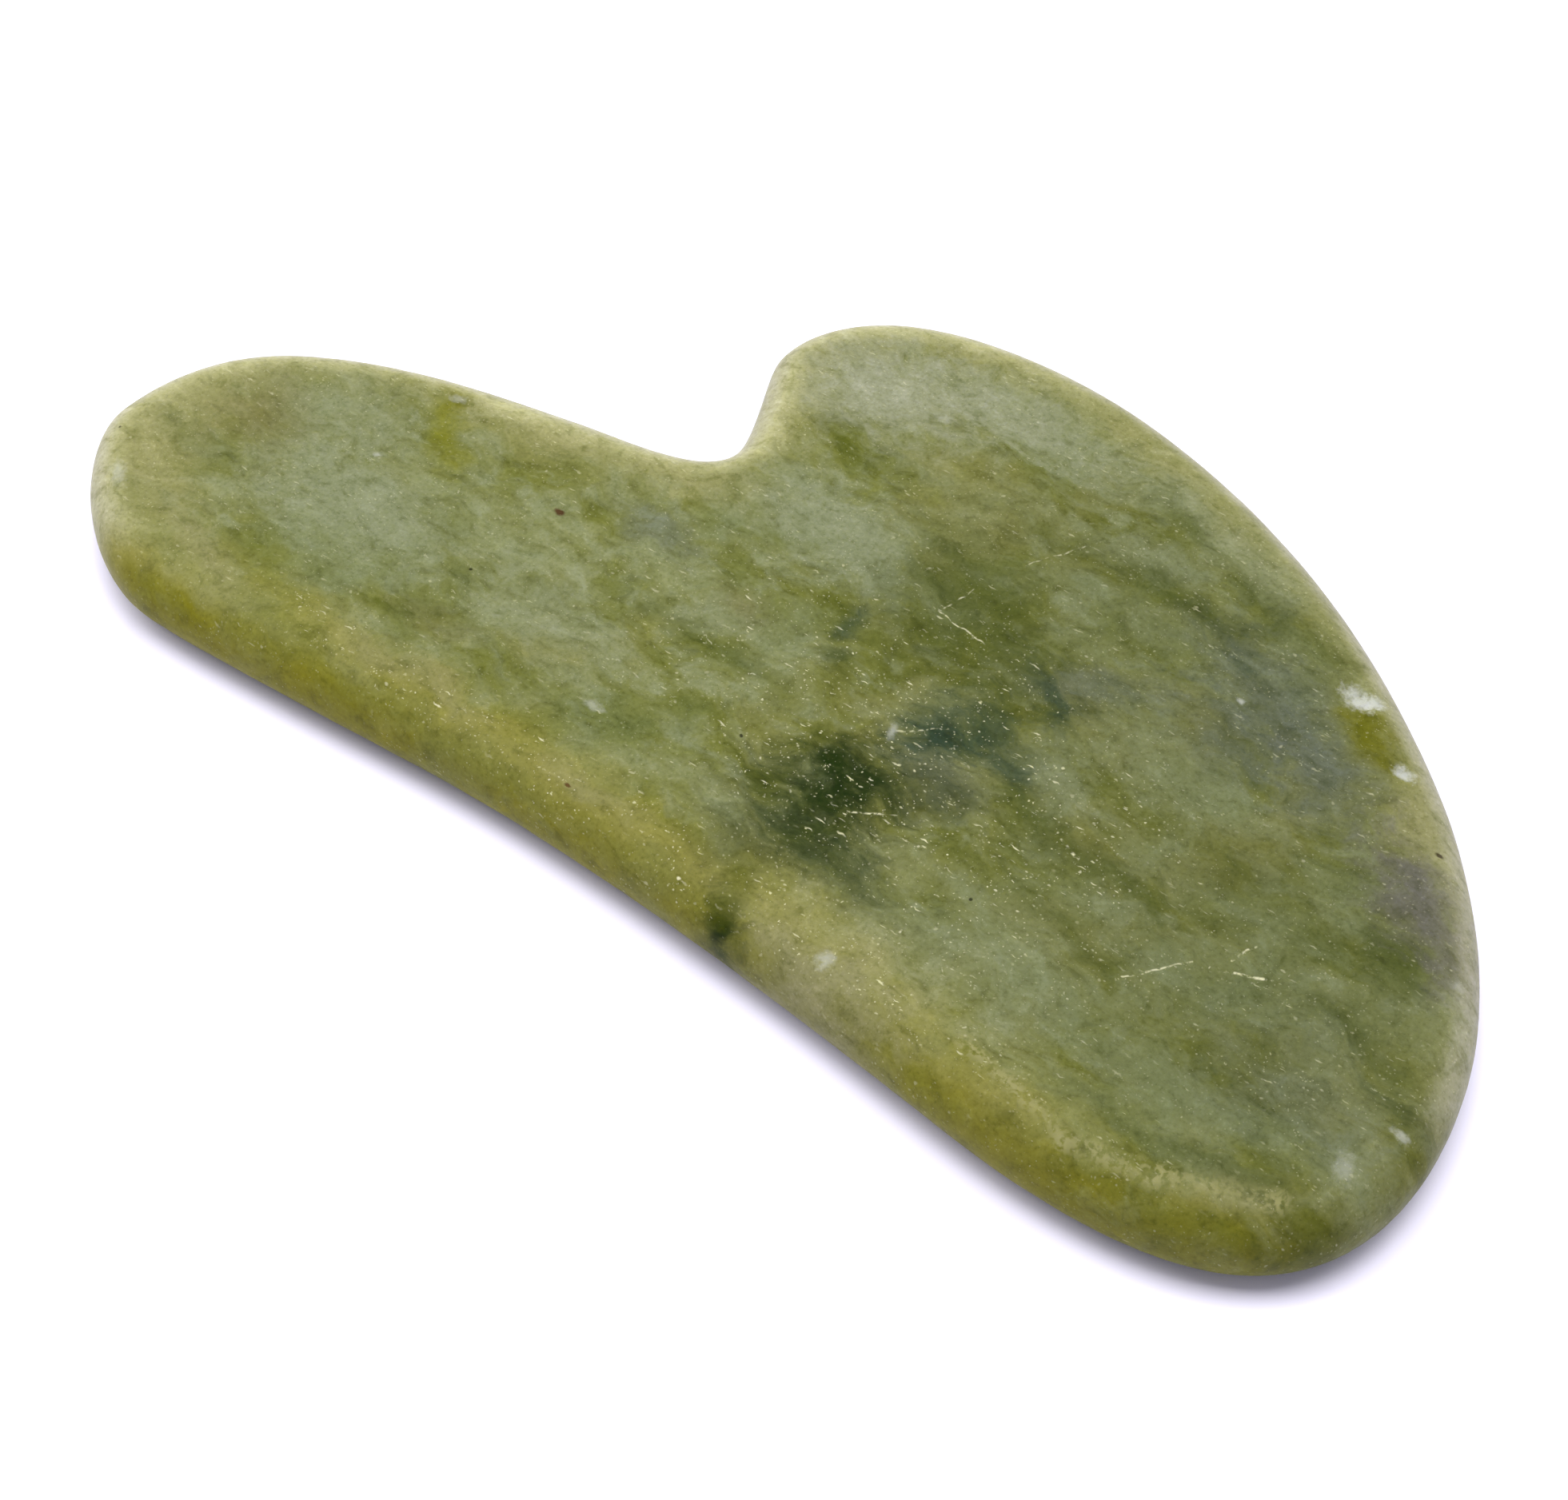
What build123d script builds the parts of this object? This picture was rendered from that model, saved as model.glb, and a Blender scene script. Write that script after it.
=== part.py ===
from build123d import *
import os

# Gua sha scraper: one hand-ground board of green jade, with nothing fixed to it and nothing that moves.
# Millimetres. The board lies flat: X along its length, head end at +X, Y across it, Z up.
# The origin is at the middle of the underside. The long scraping edge faces -Y, the humped back +Y.

# Overall sizes of the board
length = 104.0
width = 55.7
thickness = 6.0
edge_land = 0.4          # flat strip left half-way up the rounded rim

# Places along the length, from the tail end
back_from_tail = 21.6    # middle of the tail's back
beak_from_tail = 33.0    # tip of the beak that overhangs the notch
notch_undercut = 3.6     # how far the notch runs in behind the beak's tip
crown_from_tail = 51.2   # top of the back
waist_from_tail = 46.2   # innermost point of the hollow scraping edge
toe_from_tail = 14.0     # where the tail's side of the scraping edge touches down

# Places along the length, from the head end
heel_from_head = 18.8    # where the head's side of the scraping edge touches down

# Heights across the width, from the scraping edge's two touch-down points
tail_end_up = 11.2
head_end_up = 13.9
hollow = 2.2             # depth of the long scraping edge's hollow

# Heights across the width around the notch
back_down = 26.2         # middle of the tail's back, down from the top of the back
notch_rise = 5.3         # the notch's innermost point above the tail's back
beak_rise = 9.5          # the beak's tip above the notch's innermost point

# Slope of the tail's back, degrees
back_slope = 13.5

# How far each stretch of the outline holds its direction as it leaves one point and reaches the
# next, as a share of that stretch's own run
tail_corner = (0.62, 0.50)
notch_corner = (0.58, 0.60)
beak_side = (0.25, 0.16)
beak_shoulder = (0.65, 0.55)
forehead = (0.435, 0.495)
head_corner = (0.72, 0.64)
head_hollow = (0.14, 0.48)
tail_hollow = (0.24, 0.22)
toe_corner = (0.48, 0.36)

tail_x = -length / 2
head_x = length / 2
low_y = -width / 2
top_y = width / 2
beak_x = tail_x + beak_from_tail
back_y = top_y - back_down
notch_y = back_y + notch_rise

UP = Vector(0, 1)
DOWN = Vector(0, -1)
RIGHT = Vector(1, 0)
LEFT = Vector(-1, 0)
ALONG_BACK = RIGHT.rotate(Axis.Z, back_slope)

# The outline's turning points, clockwise from the tail end, each with the direction taken there
tail_end = (Vector(tail_x, low_y + tail_end_up), UP)
tail_back = (Vector(tail_x + back_from_tail, back_y), ALONG_BACK)
notch = (Vector(beak_x + notch_undercut, notch_y), UP)
beak = (Vector(beak_x, notch_y + beak_rise), UP)
crown = (Vector(tail_x + crown_from_tail, top_y), RIGHT)
head_end = (Vector(head_x, low_y + head_end_up), DOWN)
heel = (Vector(head_x - heel_from_head, low_y), LEFT)
waist = (Vector(tail_x + waist_from_tail, low_y + hollow), LEFT)
toe = (Vector(tail_x + toe_from_tail, low_y), LEFT)


def stretch(start, end, fullness):
    """Smooth curve between two turning points that keeps both directions."""
    start_point, start_way = start
    end_point, end_way = end
    run = end_point - start_point
    leave = start_way * abs(run.dot(start_way)) * fullness[0]
    arrive = end_way * abs(run.dot(end_way)) * fullness[1]
    return Bezier(start_point, start_point + leave, end_point - arrive, end_point)


outline = [
    stretch(tail_end, tail_back, tail_corner),
    stretch(tail_back, notch, notch_corner),
    stretch(notch, beak, beak_side),
    stretch(beak, crown, beak_shoulder),
    stretch(crown, head_end, forehead),
    stretch(head_end, heel, head_corner),
    stretch(heel, waist, head_hollow),
    stretch(waist, toe, tail_hollow),
    stretch(toe, tail_end, toe_corner),
]

# The slab is cut to the outline, then the whole rim is ground round from both faces
slab = extrude(make_face(outline), thickness)
edge_radius = (thickness - edge_land) / 2
rims = slab.faces().sort_by(Axis.Z)[0].edges() + slab.faces().sort_by(Axis.Z)[-1].edges()
stone_board = fillet(rims, edge_radius)
stone_board.label = "stone_board"

os.makedirs("parts", exist_ok=True)
export_step(stone_board, "parts/stone_board.step")
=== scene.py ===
import math
import bpy
import numpy as np
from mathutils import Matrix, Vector, kdtree, noise


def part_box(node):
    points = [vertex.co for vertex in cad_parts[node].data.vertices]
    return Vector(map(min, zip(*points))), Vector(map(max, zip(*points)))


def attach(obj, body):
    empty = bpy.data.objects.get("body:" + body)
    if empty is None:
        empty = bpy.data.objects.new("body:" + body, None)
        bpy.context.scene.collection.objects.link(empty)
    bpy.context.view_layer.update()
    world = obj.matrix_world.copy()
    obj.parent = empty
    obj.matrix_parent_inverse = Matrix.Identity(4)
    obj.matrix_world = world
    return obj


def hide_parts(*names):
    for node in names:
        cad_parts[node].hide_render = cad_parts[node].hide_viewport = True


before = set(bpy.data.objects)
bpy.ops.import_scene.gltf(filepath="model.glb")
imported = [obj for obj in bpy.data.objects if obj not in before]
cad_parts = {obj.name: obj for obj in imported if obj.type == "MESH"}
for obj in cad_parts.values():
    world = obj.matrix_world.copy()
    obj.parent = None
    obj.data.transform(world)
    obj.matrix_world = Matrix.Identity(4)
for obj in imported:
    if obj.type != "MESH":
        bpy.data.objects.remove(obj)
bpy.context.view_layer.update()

# ---------------------------------------------------------------------------------------------------
# The board
# One slab of jade, sawn to the wing outline, ground round along its whole rim on a wheel by hand and
# tumbled smooth. The faces keep the wheel's shallow waves, and the rim has a few bruises and chips.
# ---------------------------------------------------------------------------------------------------

board_low, board_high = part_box("stone_board")
thickness = board_high.z - board_low.z
point_gap = 0.00036       # spacing of the board's surface points
weld_reach = 0.000004     # corners of the CAD mesh this close together are one corner
metre = 1000              # in millimetres, which the stone's patterns are laid out in

board = bpy.data.objects.new("jade_board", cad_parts["stone_board"].data.copy())
bpy.context.scene.collection.objects.link(board)
bpy.ops.object.select_all(action="DESELECT")
bpy.context.view_layer.objects.active = board
board.select_set(True)

bpy.ops.object.mode_set(mode="EDIT")
bpy.ops.mesh.select_all(action="SELECT")
bpy.ops.mesh.remove_doubles(threshold=weld_reach)
bpy.ops.mesh.normals_make_consistent(inside=False)
bpy.ops.object.mode_set(mode="OBJECT")

clay = board.modifiers.new("even_skin", "REMESH")
clay.mode = "VOXEL"
clay.voxel_size = point_gap
bpy.ops.object.modifier_apply(modifier=clay.name)

ease = board.modifiers.new("tumbled", "SMOOTH")
ease.factor = 0.5
ease.iterations = 4
bpy.ops.object.modifier_apply(modifier=ease.name)


def grind(name, wave, depth):
    """The wheel's waves: the surface moves in and out along its normal, wave long and depth deep."""
    stone_grain = bpy.data.textures.new(name, "CLOUDS")
    stone_grain.noise_scale = wave
    stone_grain.noise_depth = 1
    wheel = board.modifiers.new(name, "DISPLACE")
    wheel.texture = stone_grain
    wheel.texture_coords = "LOCAL"
    wheel.mid_level = 0.5
    wheel.strength = depth
    bpy.ops.object.modifier_apply(modifier=wheel.name)


grind("broad_waves", wave=0.016, depth=0.00022)
grind("short_waves", wave=0.005, depth=0.00006)

# Chips: place on the upper face (x, y), half sizes along x and y, turn in degrees, depth
chips = [
    ((0.0310, 0.0130), (0.00110, 0.00070), -15, 0.00022),
    ((0.0320, 0.0134), (0.00070, 0.00050), 30, 0.00016),
    ((0.0365, 0.0094), (0.00065, 0.00050), -10, 0.00018),
    ((0.0168, -0.0242), (0.00045, 0.00055), 5, 0.00010),
]
crumbs_per_metre = 2500   # how finely a chip's edge crumbles
points = np.zeros(len(board.data.vertices) * 3)
board.data.vertices.foreach_get("co", points)
points = points.reshape(-1, 3)
upper = points[:, 2] > thickness * 0.5
for (chip_x, chip_y), (half_x, half_y), turn, depth in chips:
    across = points[:, 0] - chip_x
    along = points[:, 1] - chip_y
    turn_cos = math.cos(math.radians(turn))
    turn_sin = math.sin(math.radians(turn))
    u = (across * turn_cos + along * turn_sin) / half_x
    v = (along * turn_cos - across * turn_sin) / half_y
    near = np.where(upper & (u * u + v * v < 4))[0]
    for i in near:
        ragged = 1 + 0.5 * noise.noise(Vector(points[i]) * crumbs_per_metre)
        bowl = max(0.0, 1 - (u[i] ** 2 + v[i] ** 2) * ragged)
        points[i, 2] -= depth * min(1.0, bowl * 2)
board.data.vertices.foreach_set("co", points.ravel())
board.data.update()
bpy.ops.object.shade_smooth()

# How far in from the rim each point of the skin lies, in millimetres, for the rim band and painted glow
rim_line = points[np.abs(points[:, 2] - thickness / 2) < point_gap]
nearest = kdtree.KDTree(len(rim_line))
for i, (rim_x, rim_y, _) in enumerate(rim_line):
    nearest.insert((rim_x, rim_y, 0), i)
nearest.balance()
from_rim = board.data.attributes.new("from_rim", "FLOAT", "POINT")
from_rim.data.foreach_set("value", [nearest.find((x, y, 0))[2] * metre for x, y, _ in points])

# ---------------------------------------------------------------------------------------------------
# The jade
# Serpentine jade: olive green stone with pale grey-green clouds, dark green and teal inclusions and
# yellow-olive streaks that lie roughly along the board and run right through it. It lets a little
# light in, and its satin polish leaves pin-prick pits, hair scratches and frosted bruises.
# ---------------------------------------------------------------------------------------------------


def set_inputs(tree, made, inputs):
    """Each input is a value to set or another node's output to join."""
    for name, value in inputs.items():
        if isinstance(value, bpy.types.NodeSocket):
            tree.links.new(value, made.inputs[name])
        else:
            made.inputs[name].default_value = value


def add(tree, kind, inputs=None, **settings):
    made = tree.nodes.new(kind)
    for name, value in settings.items():
        setattr(made, name, value)
    set_inputs(tree, made, inputs or {})
    return made


def vector_math(tree, operation, first, second=None):
    inputs = {0: first}
    if second is not None:
        inputs[1] = second
    made = add(tree, "ShaderNodeVectorMath", inputs, operation=operation)
    return made.outputs["Value" if operation in ("LENGTH", "DOT_PRODUCT") else "Vector"]


def math_node(tree, operation, first, second=0.0, clamp=False):
    inputs = {0: first, 1: second}
    return add(tree, "ShaderNodeMath", inputs, operation=operation, use_clamp=clamp).outputs[0]


def fade(tree, value, start, end, low=0.0, high=1.0):
    """Smooth step of value from start to end."""
    inputs = {"Value": value, "From Min": start, "From Max": end, "To Min": low, "To Max": high}
    return add(tree, "ShaderNodeMapRange", inputs, interpolation_type="SMOOTHSTEP").outputs["Result"]


def new_group(name, inputs, outputs):
    group = bpy.data.node_groups.new(name, "ShaderNodeTree")
    for label, kind, value in inputs:
        socket = group.interface.new_socket(label, in_out="INPUT", socket_type=kind)
        socket.default_value = value
    for label, kind in outputs:
        group.interface.new_socket(label, in_out="OUTPUT", socket_type=kind)
    return group, group.nodes.new("NodeGroupInput"), group.nodes.new("NodeGroupOutput")


def cloud_patch_group():
    """An oval body of other stone with a ragged, soft edge."""
    group, given, result = new_group(
        "stone_patch",
        [("Stone", "NodeSocketVector", (0, 0, 0)), ("Centre", "NodeSocketVector", (0, 0, 0)),
         ("Half Size", "NodeSocketVector", (1, 1, 1)), ("Turn", "NodeSocketFloat", 0.0),
         ("Softness", "NodeSocketFloat", 0.5), ("Strength", "NodeSocketFloat", 1.0),
         ("Wander", "NodeSocketFloat", 0.0)],
        [("Mask", "NodeSocketFloat")])
    away = vector_math(group, "SUBTRACT", given.outputs["Stone"], given.outputs["Centre"])
    turned = add(group, "ShaderNodeVectorRotate",
                 {"Vector": away, "Angle": math_node(group, "MULTIPLY", given.outputs["Turn"], -1.0)},
                 rotation_type="Z_AXIS").outputs[0]
    plain = vector_math(group, "LENGTH", vector_math(group, "DIVIDE", turned, given.outputs["Half Size"]))
    oval = math_node(group, "ADD", plain, given.outputs["Wander"])
    outer = math_node(group, "ADD", given.outputs["Softness"], 1.0)
    inner = math_node(group, "SUBTRACT", 1.0, given.outputs["Softness"])
    body = fade(group, oval, outer, inner)
    group.links.new(math_node(group, "MULTIPLY", body, given.outputs["Strength"]), result.inputs["Mask"])
    return group


def scratch_group():
    """A straight scratch between two places, broken up along its length."""
    breaks_per_millimetre = 2.6
    group, given, result = new_group(
        "hair_scratch",
        [("Stone", "NodeSocketVector", (0, 0, 0)), ("From", "NodeSocketVector", (0, 0, 0)),
         ("To", "NodeSocketVector", (1, 0, 0)), ("Width", "NodeSocketFloat", 0.1)],
        [("Mask", "NodeSocketFloat")])
    away = vector_math(group, "SUBTRACT", given.outputs["Stone"], given.outputs["From"])
    run = vector_math(group, "SUBTRACT", given.outputs["To"], given.outputs["From"])
    share = math_node(group, "DIVIDE", vector_math(group, "DOT_PRODUCT", away, run),
                      vector_math(group, "DOT_PRODUCT", run, run), clamp=True)
    scaled = add(group, "ShaderNodeVectorMath", {0: run, "Scale": share}, operation="SCALE").outputs[0]
    distance = vector_math(group, "LENGTH", vector_math(group, "SUBTRACT", away, scaled))
    line = fade(group, distance, given.outputs["Width"], 0.0)
    broken = add(group, "ShaderNodeTexNoise", {
        "Vector": given.outputs["Stone"], "Scale": breaks_per_millimetre, "Detail": 2.0}).outputs["Fac"]
    kept = fade(group, broken, 0.40, 0.60)
    group.links.new(math_node(group, "MULTIPLY", line, kept), result.inputs["Mask"])
    return group


def fleck_group():
    """Pin-prick flecks scattered one to a cell, in a share of the cells."""
    least_size = 0.4      # size of the smallest fleck, as a share of Size
    heart = 0.35          # share of a fleck that is solid, inside its soft edge
    faintest = 0.25       # strength of the faintest fleck
    group, given, result = new_group(
        "flecks",
        [("Stone", "NodeSocketVector", (0, 0, 0)), ("Per Millimetre", "NodeSocketFloat", 1.0),
         ("Size", "NodeSocketFloat", 0.2), ("Share", "NodeSocketFloat", 0.3)],
        [("Mask", "NodeSocketFloat")])
    cells = add(group, "ShaderNodeTexVoronoi",
                {"Vector": given.outputs["Stone"], "Scale": given.outputs["Per Millimetre"]})
    cell_draw = add(group, "ShaderNodeSeparateColor", {"Color": cells.outputs["Color"]})
    kept = math_node(group, "LESS_THAN", cell_draw.outputs["Red"], given.outputs["Share"])
    size = math_node(group, "MULTIPLY", given.outputs["Size"],
                     math_node(group, "ADD", cell_draw.outputs["Green"], least_size))
    spot = fade(group, cells.outputs["Distance"], size, math_node(group, "MULTIPLY", size, heart))
    bright = math_node(group, "MULTIPLY", cell_draw.outputs["Blue"], 1 - faintest)
    bright = math_node(group, "ADD", bright, faintest)
    spot = math_node(group, "MULTIPLY", spot, bright)
    group.links.new(math_node(group, "MULTIPLY", spot, kept), result.inputs["Mask"])
    return group


patch_group = cloud_patch_group()
scratch_mark = scratch_group()
flecks = fleck_group()

jade = bpy.data.materials.new("mottled_jade")
jade.use_nodes = True
tree = jade.node_tree
tree.nodes.clear()

place = add(tree, "ShaderNodeTexCoord").outputs["Object"]
millimetres = add(tree, "ShaderNodeVectorMath", {0: place, "Scale": metre}, operation="SCALE").outputs[0]


def warped(laid, scale, reach, detail=2.0):
    """Pushes the pattern each way by up to half of reach, in millimetres, so no edge is smooth."""
    push = add(tree, "ShaderNodeTexNoise", {"Vector": laid, "Scale": scale, "Detail": detail})
    centred = vector_math(tree, "SUBTRACT", push.outputs["Color"], (0.5, 0.5, 0.5))
    return add(tree, "ShaderNodeVectorMath", {0: centred, 1: (reach, reach, reach), 2: laid},
               operation="MULTIPLY_ADD").outputs[0]


def mix(colour_a, colour_b, share, mode="MIX"):
    made = add(tree, "ShaderNodeMix", {"Factor": share}, data_type="RGBA", blend_type=mode)
    for socket, value in ((made.inputs[6], colour_a), (made.inputs[7], colour_b)):
        if isinstance(value, bpy.types.NodeSocket):
            tree.links.new(value, socket)
        else:
            socket.default_value = (*value, 1.0)
    return made.outputs[2]


def stone_patch(laid, centre, half_size, turn, softness, strength, wander=0.0):
    """Where one oval body of other stone lies in the laid-out stone, turn in degrees."""
    made = add(tree, "ShaderNodeGroup", node_tree=patch_group)
    set_inputs(tree, made, {"Stone": laid, "Centre": centre, "Half Size": half_size,
                            "Turn": math.radians(turn), "Softness": softness, "Strength": strength,
                            "Wander": wander})
    return made.outputs["Mask"]


def hair_line(laid, start, end, width):
    """Where a broken hair line runs from start to end."""
    made = add(tree, "ShaderNodeGroup", node_tree=scratch_mark)
    set_inputs(tree, made, {"Stone": laid, "From": start, "To": end, "Width": width})
    return made.outputs["Mask"]


# Bedding: the stone's grain lies along the board, so the pattern is drawn out along it
broken_edges = warped(warped(millimetres, 0.20, 3.6), 0.8, 0.7, detail=1.0)
bedding_turn = math.radians(6)
bedding_draw = (0.55, 1.0, 0.8)
bedding = add(tree, "ShaderNodeMapping", {
    "Vector": broken_edges, "Rotation": (0, 0, bedding_turn), "Scale": bedding_draw}).outputs[0]

body_noise = add(tree, "ShaderNodeTexNoise", {"Vector": bedding, "Scale": 0.30, "Detail": 5.0,
                                              "Roughness": 0.60}).outputs["Fac"]
moss_green = (0.105, 0.122, 0.014, 1)
olive_green = (0.168, 0.184, 0.044, 1)
leaf_green = (0.215, 0.234, 0.100, 1)
pale_green = (0.266, 0.296, 0.160, 1)
body = add(tree, "ShaderNodeValToRGB", {"Fac": body_noise})
shades = body.color_ramp.elements
shades[0].position = 0.30
shades[0].color = moss_green
shades[1].position = 0.72
shades[1].color = pale_green
shades.new(0.42).color = olive_green
shades.new(0.54).color = leaf_green

cloud_noise = add(tree, "ShaderNodeTexNoise", {"Vector": bedding, "Scale": 0.6, "Detail": 4.0,
                                               "Roughness": 0.6}).outputs["Fac"]
warmth = add(tree, "ShaderNodeTexNoise", {"Vector": broken_edges, "Scale": 0.10,
                                          "Detail": 3.0}).outputs["Fac"]
grey_green = (0.252, 0.282, 0.165)
warm_olive = (0.235, 0.232, 0.085)
cool_green = (0.150, 0.185, 0.085)
stone = mix(body.outputs["Color"], grey_green, fade(tree, cloud_noise, 0.50, 0.68, high=0.55))
stone = mix(stone, warm_olive, fade(tree, warmth, 0.52, 0.68, high=0.45))
stone = mix(stone, cool_green, fade(tree, warmth, 0.48, 0.34, high=0.40))

# Along the rim the stone turns yellow-olive, and round the back a painted glow makes it pale as straw
rim_distance = add(tree, "ShaderNodeAttribute", attribute_name="from_rim").outputs["Fac"]
skin_wander = add(tree, "ShaderNodeTexNoise", {"Vector": millimetres, "Scale": 0.16,
                                               "Detail": 4.0}).outputs["Fac"]
skin_depth = math_node(tree, "ADD", rim_distance, math_node(tree, "MULTIPLY", skin_wander, 7.0))
toward_back = (-0.15, 1.0, 0.0)
behind = fade(tree, vector_math(tree, "DOT_PRODUCT", broken_edges, toward_back), -22.0, -15.0)
# The rim's yellow-olive at the front, and a painted glow of light through the thin rim at the back
front_skin = (0.250, 0.240, 0.028)
back_rim_glow = (0.285, 0.290, 0.125)
skin = mix(front_skin, back_rim_glow, behind)
along = add(tree, "ShaderNodeSeparateXYZ", {"Vector": broken_edges}).outputs["X"]
skin_strength = fade(tree, along, 30.0, 46.0, low=0.68, high=0.25)
stone = mix(stone, skin, math_node(tree, "MULTIPLY", fade(tree, skin_depth, 11.0, 4.0), skin_strength))

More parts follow.
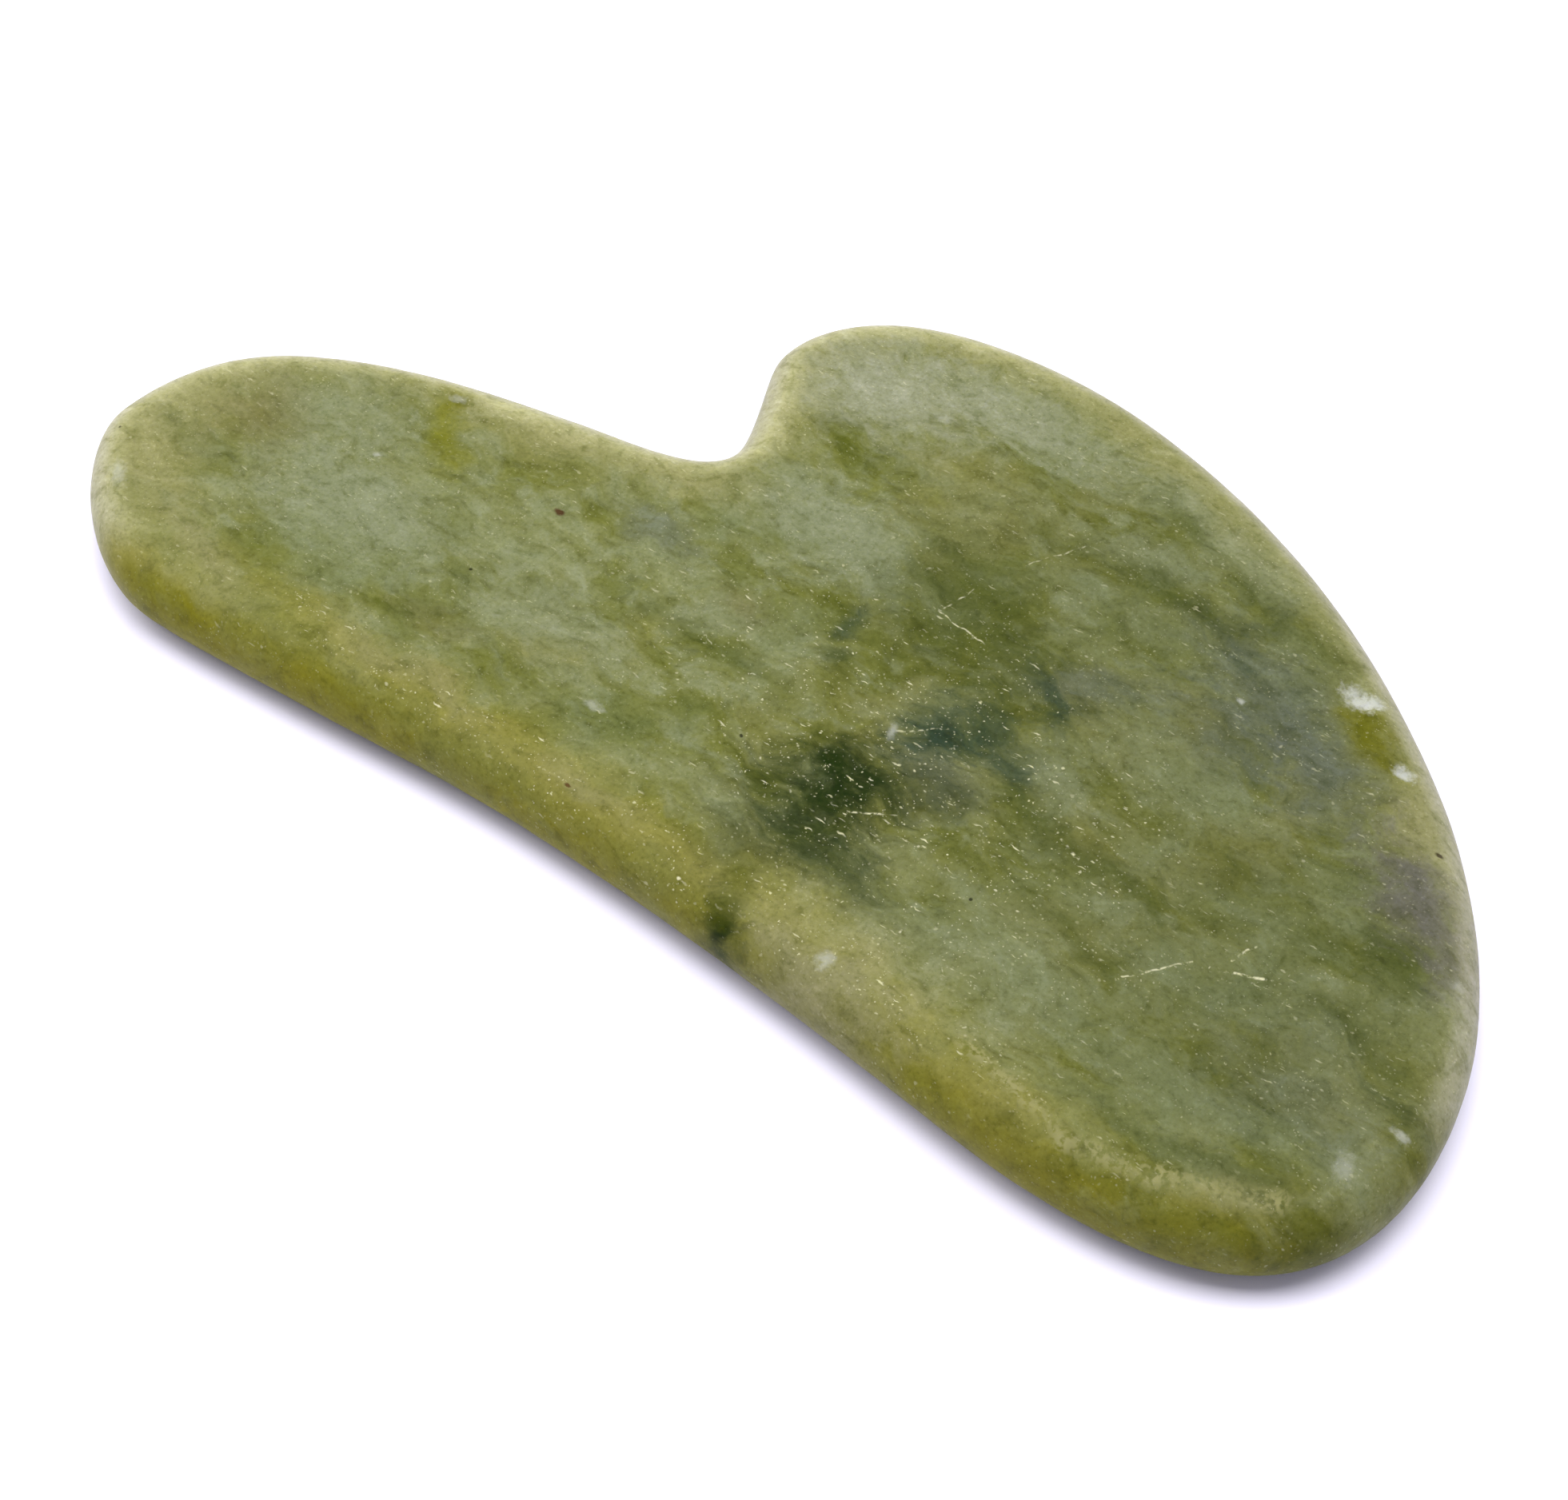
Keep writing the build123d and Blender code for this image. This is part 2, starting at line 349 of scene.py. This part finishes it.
# Bodies of other stone, by kind: colour, how soft the edge is, then each one's centre (x, y, z),
# half sizes (x, y, z), turn in degrees and strength
bodies = {
    "tail_haze": ((0.350, 0.345, 0.170), 0.95, [
        ((-49, -12, 4), (4, 8, 10), 0, 0.60), ((-46, -20, 4), (6, 3.0, 10), -30, 0.60),
        ((-16, 17, 4), (3.0, 9, 10), 0, 0.70), ((-6, 25, 4), (12, 2.4, 10), 5, 0.55),
        ((-24, 0.5, 4), (12, 1.6, 10), 12, 0.90), ((40, 6.5, 4), (7, 2.4, 10), -42, 0.75),
        ((17, -22.3, 4), (9, 2.2, 10), -4, 0.55),
        ((13, 22, 4), (7, 1.4, 10), -18, 0.50)]),
    "pale_cloud": ((0.262, 0.292, 0.188), 0.80, [
        ((-33, -13.5, 6), (7.0, 3.8, 5), -8, 0.85), ((-38, -8, 6), (5, 3.0, 4), 20, 0.50),
        ((-23, -14, 6), (6, 3.2, 5), 0, 0.20), ((-14, -13, 5), (5, 3.0, 4), -5, 0.60),
        ((-5, 4.5, 6), (5.6, 3.0, 5), -10, 0.95), ((-0.5, 2.5, 6), (3.0, 2.0, 5), -10, 0.80),
        ((0, 20.5, 6), (9, 2.6, 4), -3, 0.85),
        ((14, 15, 6), (3.6, 1.6, 4), 10, 0.55), ((13, 20, 6), (4.0, 1.6, 4), -15, 0.55),
        ((21, 18, 6), (4.0, 1.6, 4), -25, 0.55), ((-5, -6.5, 6), (3.0, 1.4, 4), 20, 0.60),
        ((19, -4.5, 6), (3.0, 1.8, 4), -25, 0.70), ((22, -19.5, 6), (7, 2.4, 4), -5, 0.45),
        ((24.5, 0.5, 6), (4.5, 2.6, 4), -30, 0.35), ((46, -7, 6), (4.0, 2.2, 4), 15, 0.35),
        ((49, -17.5, 6), (2.2, 3.0, 4), 10, 0.55), ((48.5, -2, 4), (1.6, 3, 4), 20, 0.60)]),
    "head_cloud": ((0.212, 0.244, 0.138), 0.85, [
        ((20, 3.5, 6), (4.0, 2.0, 4), -35, 0.45), ((28, 1, 6), (5.0, 2.0, 4), -15, 0.45),
        ((33, -6, 6), (6.0, 1.6, 4), 5, 0.40), ((38, -1, 6), (4.0, 1.6, 4), -20, 0.45),
        ((27, -11, 6), (6.0, 1.6, 4), 0, 0.40), ((34, -12.5, 6), (5.0, 1.6, 4), 5, 0.40),
        ((40, -10.5, 6), (5.0, 1.6, 4), 10, 0.40), ((26, -17.5, 6), (5.0, 1.8, 4), 0, 0.45),
        ((36, -19, 6), (6.0, 1.6, 4), 0, 0.55), ((44, -18.5, 6), (4.0, 1.6, 4), 10, 0.45),
        ((24, -14.5, 6), (4.0, 1.2, 4), -10, 0.20), ((9.5, 9, 6), (3.6, 1.6, 4), 20, 0.35),
        ((18, 9.6, 6), (4.0, 1.6, 4), -10, 0.50), ((40, -22.5, 6), (6.0, 1.0, 4), 4, 0.45)]),
    "beak_cloud": ((0.310, 0.330, 0.235), 0.85, [
        ((-10, 17.5, 6), (6.0, 4.0, 5), 5, 1.0), ((-2, 20.5, 6), (5, 2.0, 4), -3, 0.60)]),
    "crest_yellow": ((0.262, 0.250, 0.062), 0.90, [
        ((-22, -23.3, 4), (12, 1.4, 10), 0, 0.60), ((0, -23.5, 4), (14, 1.5, 10), 0, 0.85),
        ((31, -26.6, 4), (5, 1.4, 10), -4, 0.90)]),
    "front_green": ((0.185, 0.200, 0.052), 0.90, [
        ((-30, -25.0, 4), (5, 1.0, 8), -6, 0.60), ((-12, -25.4, 4), (6, 0.9, 8), 2, 0.50),
        ((-42, -23.5, 5), (5, 0.9, 8), -28, 0.45), ((4, -24.8, 4), (3, 0.9, 8), 0, 0.45),
        ((38, -25.8, 4), (5, 0.9, 8), 8, 0.50)]),
    "straw_cloud": ((0.290, 0.285, 0.150), 0.90, [
        ((17, -25.0, 4), (5.5, 1.8, 10), -3, 0.90), ((46, -22.5, 5), (4, 1.2, 5), 25, 0.55),
        ((-18, -23.0, 5), (5, 0.8, 5), 0, 0.50), ((-3, -22.8, 5), (4, 0.7, 5), 0, 0.45),
        ((-36, -23.6, 5), (4, 0.8, 5), -12, 0.45), ((41, 5.5, 5), (4.5, 1.6, 5), -42, 0.60)]),
    "dark_moss": ((0.088, 0.110, 0.020), 0.85, [
        ((7, 3, 6), (4.6, 4.0, 5), -35, 0.68), ((4, 6.5, 6), (3.0, 2.6, 4), 20, 0.45),
        ((12.5, 1, 6), (3.0, 2.2, 4), -30, 0.55), ((19, 12.9, 6), (4.5, 1.0, 4), -8, 0.80),
        ((25, 14.8, 6), (3.6, 1.0, 4), 12, 0.65), ((14.5, 18.8, 6), (3.4, 0.8, 4), -15, 0.65),
        ((21, 16.4, 6), (2.8, 0.8, 4), -15, 0.50), ((9, 12.8, 6), (6, 0.9, 4), 4, 0.35),
        ((-6, 12, 6), (5, 0.9, 4), -6, 0.20), ((1.5, 8.0, 6), (4.0, 1.1, 4), -25, 0.25),
        ((24, -8.7, 6), (7, 0.9, 4), -4, 0.65), ((19, -7.3, 6), (2.4, 0.9, 4), -10, 0.75),
        ((43.5, -3.5, 6), (2.6, 1.6, 4), -40, 0.85), ((34, -3, 6), (3.0, 1.0, 4), 0, 0.35),
        ((45, -9.5, 6), (4.5, 0.8, 4), -8, 0.55), ((49, -12, 6), (2.0, 1.0, 4), -20, 0.90),
        ((28, -14, 6), (5, 0.8, 4), -12, 0.45), ((45, -21.5, 6), (5, 0.7, 4), 8, 0.60),
        ((50, -22, 4), (1.8, 1.8, 4), 35, 0.80), ((-4, -8.8, 6), (5, 0.8, 4), -4, 0.60),
        ((-15, -18, 6), (6, 0.9, 4), -5, 0.25), ((-46.5, -16, 6), (4, 0.8, 4), 0, 0.35),
        ((38, -23, 5), (6, 0.8, 4), 4, 0.40)]),
    "warm_brown": ((0.180, 0.168, 0.060), 0.90, [
        ((-43, -11.5, 6), (2.8, 2.6, 4), 0, 0.60), ((-5, -5, 6), (2.0, 0.9, 3), -10, 0.50),
        ((-20, -18.5, 6), (3.0, 1.2, 3), 0, 0.35), ((29, 7, 6), (0.7, 0.9, 3), 0, 0.60)]),
    "slate_cloud": ((0.136, 0.160, 0.142), 0.90, [
        ((26, 9.5, 6), (5.0, 3.2, 5), -25, 0.65), ((32, 6.5, 6), (4.2, 2.4, 5), -30, 0.75),
        ((26, 4.8, 6), (3.6, 2.0, 4), -20, 0.45), ((17, 3.0, 6), (3.6, 1.8, 4), 35, 0.55),
        ((-13.5, -3, 6), (3.2, 1.6, 3), -10, 0.50), ((44, -14.5, 6), (4.5, 3.0, 4), 0, 0.35),
        ((13.5, -9, 6), (3.0, 2.0, 4), -20, 0.55)]),
    "lilac_cloud": ((0.168, 0.164, 0.148), 0.85, [
        ((42.8, 0.9, 6), (4.6, 2.3, 6), -28, 1.0), ((47, -1.5, 5), (2.0, 2.8, 6), 25, 0.70)]),
    "deep_green": ((0.012, 0.030, 0.000), 0.90, [
        ((8.8, -13.0, 6), (3.2, 2.8, 4), -30, 1.0), ((8.8, -16.5, 5), (4.2, 3.6, 5), 0, 0.70),
        ((13.0, -18.2, 6), (4.2, 1.6, 4), -10, 0.55), ((12.8, -11.0, 6), (3.2, 1.6, 4), 25, 0.50),
        ((7.0, -21.0, 6), (2.6, 1.8, 4), 0, 0.35), ((10.2, -26.2, 4), (2.6, 1.0, 3), -40, 1.0),
        ((9.0, -23.8, 4), (1.4, 1.6, 3), 0, 0.55)]),
    "teal_smoke": ((0.038, 0.068, 0.040), 0.95, [
        ((11.8, -6.0, 6), (2.0, 1.9, 4), 20, 1.0), ((14.0, -3.6, 6), (3.2, 1.2, 4), -25, 0.75),
        ((16.8, -0.3, 6), (1.2, 1.5, 4), -30, 0.85), ((16.5, -5.8, 6), (2.6, 0.8, 4), -10, 0.70),
        ((14.8, 1.2, 6), (1.8, 0.7, 4), -25, 0.60), ((1.4, -1.6, 6), (0.9, 1.3, 3), 0, 0.70),
        ((2.6, -4.6, 6), (1.0, 0.8, 3), 0, 0.45), ((24.3, 10.7, 6), (1.1, 0.6, 3), 0, 0.45)]),
    "golden_streak": ((0.190, 0.196, 0.010), 0.90, [
        ((-31.6, -4.2, 5), (4.6, 0.9, 4), -50, 0.80),
        ((-32, -22, 5), (4.5, 1.0, 3), -22, 0.35), ((9, -23.5, 4), (1.0, 2.4, 3), 10, 0.4)]),
    "rim_olive": ((0.225, 0.210, 0.004), 0.80, [
        ((-38, -27, 3), (9, 1.4, 3), -8, 0.80), ((-20, -27.0, 2), (12, 1.4, 3), 0, 0.80),
        ((0, -26.4, 2), (7, 1.2, 3), 0, 0.80), ((32, -28.0, 3), (9, 1.2, 3), 0, 0.60),
        ((43, -25.3, 3), (5, 1.6, 3), 20, 0.60)]),
    "yellow_olive": ((0.162, 0.164, 0.008), 0.80, [
        ((33.2, 10.6, 6), (3.4, 1.4, 3), -32, 1.0), ((49, -21.5, 3), (2.0, 2.6, 3), 35, 0.55),
        ((-33.5, -1.8, 5), (1.6, 0.7, 3), -30, 0.60)]),
}
ragged = add(tree, "ShaderNodeTexNoise", {"Vector": bedding, "Scale": 0.75, "Detail": 6.0,
                                          "Roughness": 0.68}).outputs["Fac"]
raggedness = 2.6
wander = math_node(tree, "MULTIPLY", math_node(tree, "SUBTRACT", ragged, 0.5), raggedness)
for colour, softness, places in bodies.values():
    for centre, half_size, turn, strength in places:
        mask = stone_patch(broken_edges, centre, half_size, turn, softness, strength, wander)
        stone = mix(stone, colour, mask)

# Toward the head the whole stone deepens: centre, half sizes, turn and strength of each shade
head_deepening = (0.60, 0.62, 0.52)
head_shades = [((26, -3, 3), (22, 15, 20), -15, 0.55), ((43, -12, 3), (12, 12, 20), 0, 0.40),
               ((8, 5, 3), (10, 9, 20), -20, 0.20), ((18, 14, 3), (13, 5.5, 20), -15, 0.40)]
for centre, half_size, turn, strength in head_shades:
    mask = stone_patch(broken_edges, centre, half_size, turn, softness=0.95, strength=strength)
    stone = mix(stone, head_deepening, mask, mode="MULTIPLY")

# Where the rim is thin and faces away, light comes through it and the skin shows pale as straw
straw_depth = math_node(tree, "ADD", rim_distance, math_node(tree, "MULTIPLY", skin_wander, 3.0))
toward_beak = fade(tree, along, 4.0, -9.0, low=0.14)
straw = math_node(tree, "MULTIPLY", fade(tree, straw_depth, 5.2, 2.4, high=0.92),
                  math_node(tree, "MULTIPLY", behind, toward_beak))
height_up = add(tree, "ShaderNodeSeparateXYZ", {"Vector": broken_edges}).outputs["Z"]
upper_edge = fade(tree, height_up, 0.5, 4.2, low=0.20)
straw = math_node(tree, "MULTIPLY", straw, upper_edge)
straw_yellow = (0.550, 0.545, 0.325)
stone = mix(stone, straw_yellow, straw)
# A painted highlight: a thin pale line along the edge of the back rim
thin_edge_highlight = math_node(tree, "MULTIPLY", fade(tree, rim_distance, 2.3, 0.8, high=0.60),
                      math_node(tree, "MULTIPLY", behind, upper_edge))
lit_edge = (0.480, 0.470, 0.380)
stone = mix(stone, lit_edge, thin_edge_highlight)

# Iron-stained and black specks, some where the stone shows them and a sprinkle all over
specks = [((-20, -6, 6), (0.40, 0.26, 1.5), (0.080, 0.028, 0.008)),
          ((-21.2, -13.6, 6), (0.13, 0.13, 1), (0.020, 0.022, 0.010)),
          ((2.0, -13.8, 6), (0.14, 0.12, 1), (0.020, 0.022, 0.010)),
          ((21, -15.3, 6), (0.13, 0.12, 1), (0.020, 0.022, 0.010)),
          ((-4.0, -23.6, 6), (0.24, 0.12, 1), (0.100, 0.045, 0.010)),
          ((41.5, 5.2, 5.8), (0.30, 0.16, 1), (0.050, 0.036, 0.016))]
for centre, half_size, colour in specks:
    ragged_dot = warped(millimetres, 3.0, 0.2)
    mask = stone_patch(ragged_dot, centre, half_size, turn=0, softness=0.4, strength=0.9)
    stone = mix(stone, colour, mask)
pepper_black = (0.030, 0.030, 0.012)
pepper = add(tree, "ShaderNodeGroup", node_tree=flecks)
set_inputs(tree, pepper, {"Stone": millimetres, "Per Millimetre": 0.28, "Size": 0.035, "Share": 0.22})
stone = mix(stone, pepper_black, pepper.outputs["Mask"])

# Felted fibre: smudges a millimetre or two across, then a fine crystal grain
pale_fibre = (1.45, 1.42, 1.70)
dark_fibre = (0.45, 0.48, 0.25)
for laid, scale, pale_share, dark_share in ((bedding, 0.95, 0.45, 0.55), (millimetres, 3.6, 0.34, 0.42)):
    felt = add(tree, "ShaderNodeTexNoise", {"Vector": laid, "Scale": scale, "Detail": 4.0,
                                            "Roughness": 0.62}).outputs["Fac"]
    stone = mix(stone, pale_fibre, fade(tree, felt, 0.50, 0.72, high=pale_share), mode="MULTIPLY")
    stone = mix(stone, dark_fibre, fade(tree, felt, 0.50, 0.28, high=dark_share), mode="MULTIPLY")

# Pits: pale pin-pricks, crowded over the middle, the head and the crest above the scraping edge
fleck_field = add(tree, "ShaderNodeTexNoise", {"Vector": millimetres, "Scale": 0.35,
                                               "Detail": 4.0}).outputs["Fac"]
crowding = fade(tree, fleck_field, 0.40, 0.58, low=0.30)
worn = 0.35               # wear of the places that are least used
most_worn = [((12, -9, 3), (22, 13, 20), -12, 0.90), ((2, -23.6, 3), (34, 2.2, 20), -1, 0.95),
             ((38, -13, 3), (16, 10, 20), 0, 0.40)]
for centre, half_size, turn, strength in most_worn:
    worked = stone_patch(millimetres, centre, half_size, turn, softness=0.7, strength=strength)
    worn = math_node(tree, "MAXIMUM", worn, worked)
crowding = math_node(tree, "MULTIPLY", crowding, worn)
# Sorts of prick: per millimetre, size, share of cells, strength, turn in degrees, stretch
dot = (1.0, 1.0, 1.0)
dash = (0.36, 1.8, 1.0)
prick_sorts = [(1.1, 0.17, 0.26, 1.0, -20, (1.0, 1.6, 1.0)), (2.4, 0.24, 0.20, 1.0, 35, (0.8, 1.5, 1.0)),
               (4.2, 0.34, 0.20, 0.90, 0, dot), (1.6, 0.19, 0.18, 1.0, -65, dash),
               (1.3, 0.17, 0.18, 1.0, 25, dash), (1.8, 0.20, 0.18, 1.0, 75, dash),
               (6.0, 0.36, 0.16, 0.80, 50, dot)]
marks = 0.0
for per_millimetre, size, share, strength, turn, stretch in prick_sorts:
    prick_turn = math.radians(turn)
    laid = add(tree, "ShaderNodeMapping", {"Vector": warped(millimetres, 1.5, 0.5),
                                           "Rotation": (0, 0, prick_turn), "Scale": stretch}).outputs[0]
    pricks = add(tree, "ShaderNodeGroup", node_tree=flecks)
    set_inputs(tree, pricks, {"Stone": laid, "Per Millimetre": per_millimetre, "Size": size,
                              "Share": share})
    marks = math_node(tree, "MAXIMUM", marks,
                      math_node(tree, "MULTIPLY", pricks.outputs["Mask"], strength))
marks = math_node(tree, "MULTIPLY", marks, crowding)

# Hair scratches: from, to, width and how strongly each shows
scratches = [
    ((10.4, 14.6, 6), (7.4, 9.2, 6), 0.10, 0.45), ((6.2, 5.6, 6), (5.6, 3.0, 6), 0.10, 0.60),
    ((5.0, 2.6, 6), (9.6, 2.0, 6), 0.10, 0.70), ((35.2, -10.6, 6), (38.6, -9.2, 6), 0.15, 0.85),
    ((31.4, -14.4, 6), (34.0, -11.0, 6), 0.12, 0.70), ((35.8, -9.4, 6), (36.4, -7.6, 6), 0.12, 0.70),
    ((22.8, -8.2, 6), (24.4, -8.8, 6), 0.14, 0.80), ((11.0, -14.5, 6), (13.6, -12.9, 6), 0.12, 0.80),
    ((12.0, -5.2, 6), (9.6, -7.4, 6), 0.12, 0.60)]
for start, end, width, strength in scratches:
    line = hair_line(warped(millimetres, 0.8, 0.5), start, end, width)
    marks = math_node(tree, "MAXIMUM", marks, math_node(tree, "MULTIPLY", line, strength))
bruised_white = (0.940, 0.920, 0.700)
stone = mix(stone, bruised_white, math_node(tree, "MULTIPLY", marks, 0.95))

# A painted highlight: a pale line where the face turns over the heel and catches the light
painted_highlight_straw = (0.360, 0.350, 0.170)
heel_highlight_line = [(27, -24.0, 6), (35, -25.6, 5.6), (40.5, -24.7, 5.6), (47, -21.6, 5.6)]
for start, end in zip(heel_highlight_line, heel_highlight_line[1:]):
    line = hair_line(warped(millimetres, 0.4, 1.2), start, end, width=1.0)
    stone = mix(stone, painted_highlight_straw, math_node(tree, "MULTIPLY", line, 0.85))

# Chips and scuffs show the stone's frosted, nearly white broken face: centre, half sizes, turn in
# degrees and strength of each, and a deeper chip is a stronger one
scuffs = [((48.6, -17.6), (0.60, 0.90), 20, 0.22), ((50.0, -13.8), (0.55, 0.30), 0, 0.45),
          ((-6.9, -17.7), (0.75, 0.28), 5, 0.28), ((-5.0, 17.4), (0.60, 0.30), 10, 0.22),
          ((9.3, -7.6), (0.30, 0.60), 25, 0.35), ((-32.8, -2.0), (0.60, 0.35), 10, 0.28),
          ((-33.5, -9.5), (0.30, 0.25), 0, 0.35), ((-46.2, -21.8), (1.10, 0.45), -40, 0.30),
          ((47.3, -2.6), (0.35, 0.40), 0, 0.25), ((25.2, 8.1), (0.25, 0.20), 0, 0.45)]
frost_per_depth = 4000
for (chip_x, chip_y), (half_x, half_y), turn, depth in chips:
    chip_centre = (chip_x * metre, chip_y * metre)
    scuffs.append((chip_centre, (half_x * metre, half_y * metre), turn, depth * frost_per_depth))
crumbled = add(tree, "ShaderNodeTexNoise", {"Vector": millimetres, "Scale": 2.2, "Detail": 4.0,
                                            "Roughness": 0.7}).outputs["Fac"]
crumbliness = 2.2
crumbled = math_node(tree, "MULTIPLY", math_node(tree, "SUBTRACT", crumbled, 0.46), crumbliness)
frost_white = (0.72, 0.75, 0.80)
most_frosted = 0.70
frost_depth = 1.2
for (scuff_x, scuff_y), (half_x, half_y), turn, strength in scuffs:
    centre = (scuff_x, scuff_y, thickness * metre)
    frosted = stone_patch(warped(millimetres, 1.2, 0.5), centre, (half_x, half_y, frost_depth), turn,
                          softness=0.75, strength=min(most_frosted, strength), wander=crumbled)
    stone = mix(stone, frost_white, frosted)
    marks = math_node(tree, "MAXIMUM", marks, frosted)

# How deep the stone's colour is as a whole
whole_depth = (0.69, 0.685, 0.59)
stone = mix(stone, whole_depth, 1.0, mode="MULTIPLY")

# Satin polish, a little uneven, and dull in every mark
polish_noise = add(tree, "ShaderNodeTexNoise", {"Vector": millimetres, "Scale": 0.7,
                                                "Detail": 4.0}).outputs["Fac"]
polish = fade(tree, polish_noise, 0.3, 0.7, low=0.38, high=0.48)
mark_dullness = 0.3       # roughness that a mark adds
dulled = math_node(tree, "MULTIPLY", marks, mark_dullness)
roughness = math_node(tree, "ADD", polish, dulled, clamp=True)

relief = add(tree, "ShaderNodeTexNoise", {"Vector": millimetres, "Scale": 1.4, "Detail": 5.0,
                                          "Roughness": 0.6}).outputs["Fac"]
bump = add(tree, "ShaderNodeBump", {"Strength": 0.35, "Distance": 0.00003, "Height": relief})

surface = add(tree, "ShaderNodeBsdfPrincipled",
              {"Base Color": stone, "Roughness": roughness, "IOR": 1.56, "Specular IOR Level": 0.05,
               "Normal": bump.outputs[0], "Subsurface Weight": 0.35,
               "Subsurface Radius": (1.0, 1.0, 0.15), "Subsurface Scale": 0.0010,
               "Subsurface Anisotropy": 0.3},
              subsurface_method="RANDOM_WALK")
add(tree, "ShaderNodeOutputMaterial", {"Surface": surface.outputs["BSDF"]})

board.data.materials.clear()
board.data.materials.append(jade)
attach(board, "root")
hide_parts("stone_board")

# ---------------------------------------------------------------------------------------------------
# Table and light
# A plain white paper table top, a strong soft light almost overhead, two weaker soft window lights to
# the left and the right, and the camera looking down over the long scraping edge.
# ---------------------------------------------------------------------------------------------------

table_size = 4
air_gap = 0.00001         # between the table and the lowest of the board's shallow waves
table_height = float(points[:, 2].min()) - air_gap
bpy.ops.mesh.primitive_plane_add(size=table_size, location=(0, 0, table_height))
table = bpy.context.active_object
table.name = "table_top"
bpy.ops.object.transform_apply(location=True, rotation=True, scale=True)
white_paper = bpy.data.materials.new("white_paper")
white_paper.use_nodes = True
paper = white_paper.node_tree.nodes["Principled BSDF"]
paper.inputs["Base Color"].default_value = (0.86, 0.84, 0.99, 1)
paper.inputs["Roughness"].default_value = 0.9
table.data.materials.append(white_paper)

studio = bpy.data.worlds.new("studio")
bpy.context.scene.world = studio
studio.use_nodes = True
studio.node_tree.nodes["Background"].inputs["Color"].default_value = (0.89, 0.88, 1.0, 1)
studio.node_tree.nodes["Background"].inputs["Strength"].default_value = 0.50

aim = Vector((0.00331, -0.01108, thickness / 2))    # the spot that the lights and the camera face
lamp_distance = 0.9
lamp_size = 0.5
lamp_white = (1.0, 0.99, 0.97)
camera_distance = 0.190


def way_out(turn, rise):
    """The way from the board to what stands turn degrees round it and rise degrees up."""
    turn, rise = math.radians(turn), math.radians(rise)
    return Vector((math.sin(turn) * math.cos(rise), -math.cos(turn) * math.cos(rise), math.sin(rise)))


def soft_light(name, turn, rise, power):
    """A square soft light that faces the board: turn and rise are where it stands, in degrees."""
    stand = way_out(turn, rise)
    lamp = bpy.data.lights.new(name, "AREA")
    lamp.size = lamp_size
    lamp.energy = power
    lamp.color = lamp_white
    light = bpy.data.objects.new(name, lamp)
    light.location = aim + stand * lamp_distance
    light.rotation_euler = stand.to_track_quat("Z", "Y").to_euler()
    bpy.context.scene.collection.objects.link(light)


soft_light("ceiling_light", turn=215, rise=86, power=6.2)
soft_light("left_window", turn=290, rise=50, power=3.6)
soft_light("right_window", turn=150, rise=55, power=2.6)

back = way_out(turn=38.25, rise=50)
lens = bpy.data.cameras.new("camera")
lens.lens = 67.9
lens.sensor_width = 36
lens.clip_start = 0.01
camera = bpy.data.objects.new("camera", lens)
camera.location = aim + back * camera_distance
camera.rotation_euler = back.to_track_quat("Z", "Y").to_euler()
bpy.context.scene.collection.objects.link(camera)
bpy.context.scene.camera = camera
bpy.context.scene.view_settings.view_transform = "Standard"
